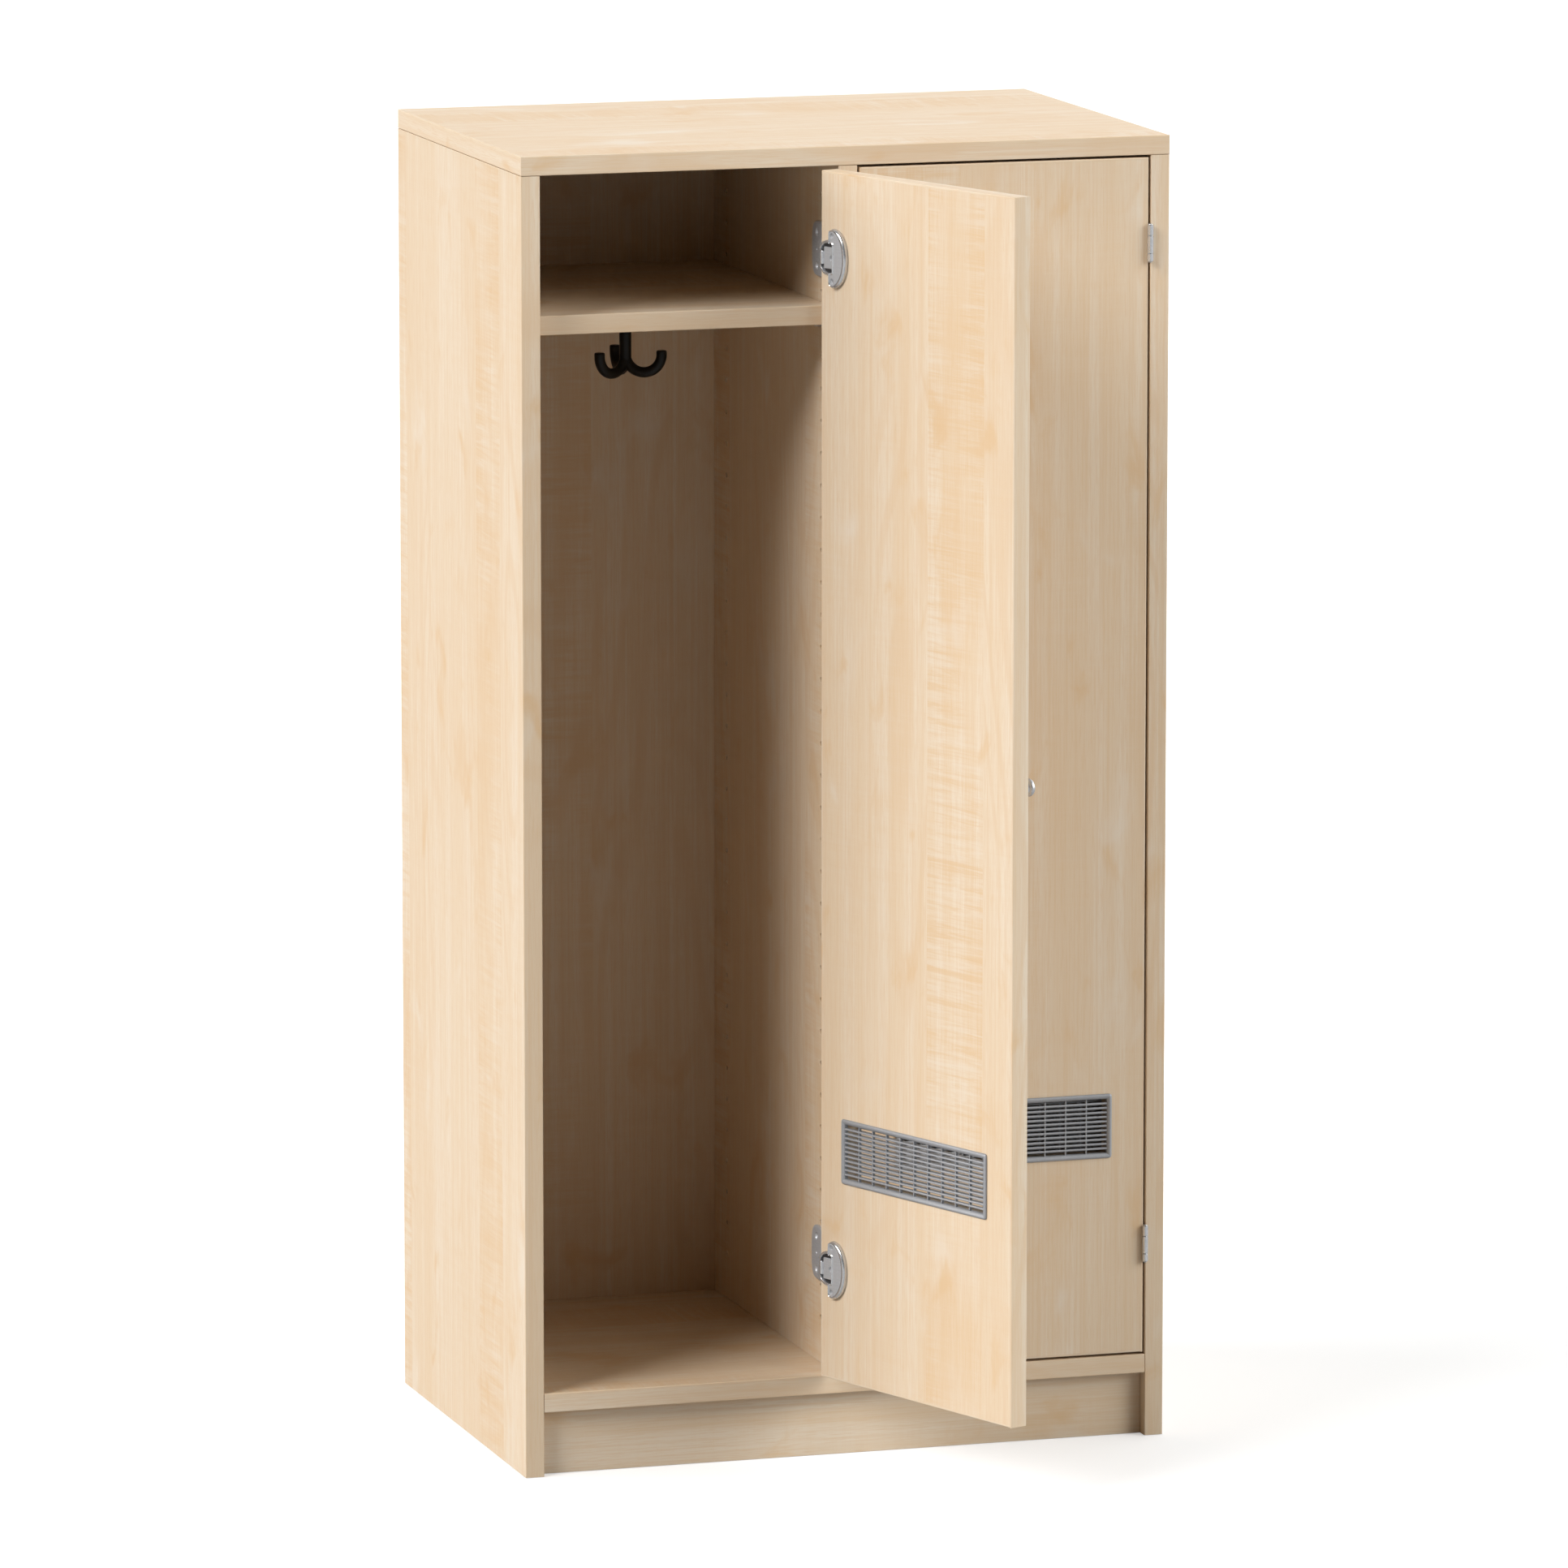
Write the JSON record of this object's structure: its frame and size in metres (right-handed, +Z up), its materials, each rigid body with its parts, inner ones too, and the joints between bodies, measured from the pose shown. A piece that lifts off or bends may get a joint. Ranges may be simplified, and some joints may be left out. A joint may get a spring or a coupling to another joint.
{
  "type": "locker cabinet",
  "caption": "Two-door wooden locker cabinet: a divider, one shelf and a swivelling three-prong coat hook per bay, inset doors with vent grilles, knobs and surface hinges, recessed plinth",
  "frame": {"origin": "on the floor, at the middle of the plinth board's underside, on the mid-plane of the carcass", "axes": "+X to the right seen from the front, +Y from the front to the back, +Z up"},
  "size_m": [0.66, 0.7387, 1.302],
  "materials": {
    "maple_board": "satin melamine with maple grain",
    "hinge_metal": "satin nickel on die-cast zinc, polished rims",
    "nickel_steel": "satin nickel",
    "grille_plastic": "silver-grey satin",
    "black_lacquer": "black satin lacquer"
  },
  "bodies": {
    "carcass": {"back_panel": "maple_board", "divider_panel": "maple_board", "floor_panel": "maple_board", "left_hook_flange": "black_lacquer", "left_lower_frame_leaf": "hinge_metal", "left_lower_frame_screw_1": "nickel_steel", "left_lower_frame_screw_2": "nickel_steel", "left_lower_hinge_pin": "nickel_steel", "left_shelf": "maple_board", "left_shelf_pin_1": "nickel_steel", "left_shelf_pin_2": "nickel_steel", "left_shelf_pin_3": "nickel_steel", "left_shelf_pin_4": "nickel_steel", "left_side_panel": "maple_board", "left_upper_frame_leaf": "hinge_metal", "left_upper_frame_screw_1": "nickel_steel", "left_upper_frame_screw_2": "nickel_steel", "left_upper_hinge_pin": "nickel_steel", "plinth_board": "maple_board", "right_hook_flange": "black_lacquer", "right_lower_frame_leaf": "hinge_metal", "right_lower_frame_screw_1": "nickel_steel", "right_lower_frame_screw_2": "nickel_steel", "right_lower_hinge_pin": "nickel_steel", "right_shelf": "maple_board", "right_shelf_pin_1": "nickel_steel", "right_shelf_pin_2": "nickel_steel", "right_shelf_pin_3": "nickel_steel", "right_shelf_pin_4": "nickel_steel", "right_side_panel": "maple_board", "right_upper_frame_leaf": "hinge_metal", "right_upper_frame_screw_1": "nickel_steel", "right_upper_frame_screw_2": "nickel_steel", "right_upper_hinge_pin": "nickel_steel", "top_panel": "maple_board"},
    "left_door": {"left_door_panel": "maple_board", "left_inner_grille": "grille_plastic", "left_knob": "nickel_steel", "left_lower_door_leaf": "hinge_metal", "left_lower_door_screw_1": "nickel_steel", "left_lower_door_screw_2": "nickel_steel", "left_outer_grille": "grille_plastic", "left_upper_door_leaf": "hinge_metal", "left_upper_door_screw_1": "nickel_steel", "left_upper_door_screw_2": "nickel_steel"},
    "right_door": {"right_door_panel": "maple_board", "right_inner_grille": "grille_plastic", "right_knob": "nickel_steel", "right_lower_door_leaf": "hinge_metal", "right_lower_door_screw_1": "nickel_steel", "right_lower_door_screw_2": "nickel_steel", "right_outer_grille": "grille_plastic", "right_upper_door_leaf": "hinge_metal", "right_upper_door_screw_1": "nickel_steel", "right_upper_door_screw_2": "nickel_steel"},
    "left_hook_swivel": {"left_hook": "black_lacquer"},
    "right_hook_swivel": {"right_hook": "black_lacquer"}
  },
  "joints": [
    {"name": "left_door_hinge", "type": "hinge", "parent": "carcass", "child": "left_door", "pos_m": [-0.01075, -0.0255, 0.683], "axis": [0, 0, 1], "range_deg": [-111, 34]},
    {"name": "right_door_hinge", "type": "hinge", "parent": "carcass", "child": "right_door", "pos_m": [0.30975, -0.0255, 0.683], "axis": [0, 0, 1], "range_deg": [0, 180]},
    {"name": "left_hook_turn", "type": "hinge", "parent": "carcass", "child": "left_hook_swivel", "pos_m": [-0.16025, 0.20075, 1.08], "axis": [0, 0, 1], "continuous": true},
    {"name": "right_hook_turn", "type": "hinge", "parent": "carcass", "child": "right_hook_swivel", "pos_m": [0.16025, 0.20075, 1.08], "axis": [0, 0, 1], "continuous": true}
  ]
}
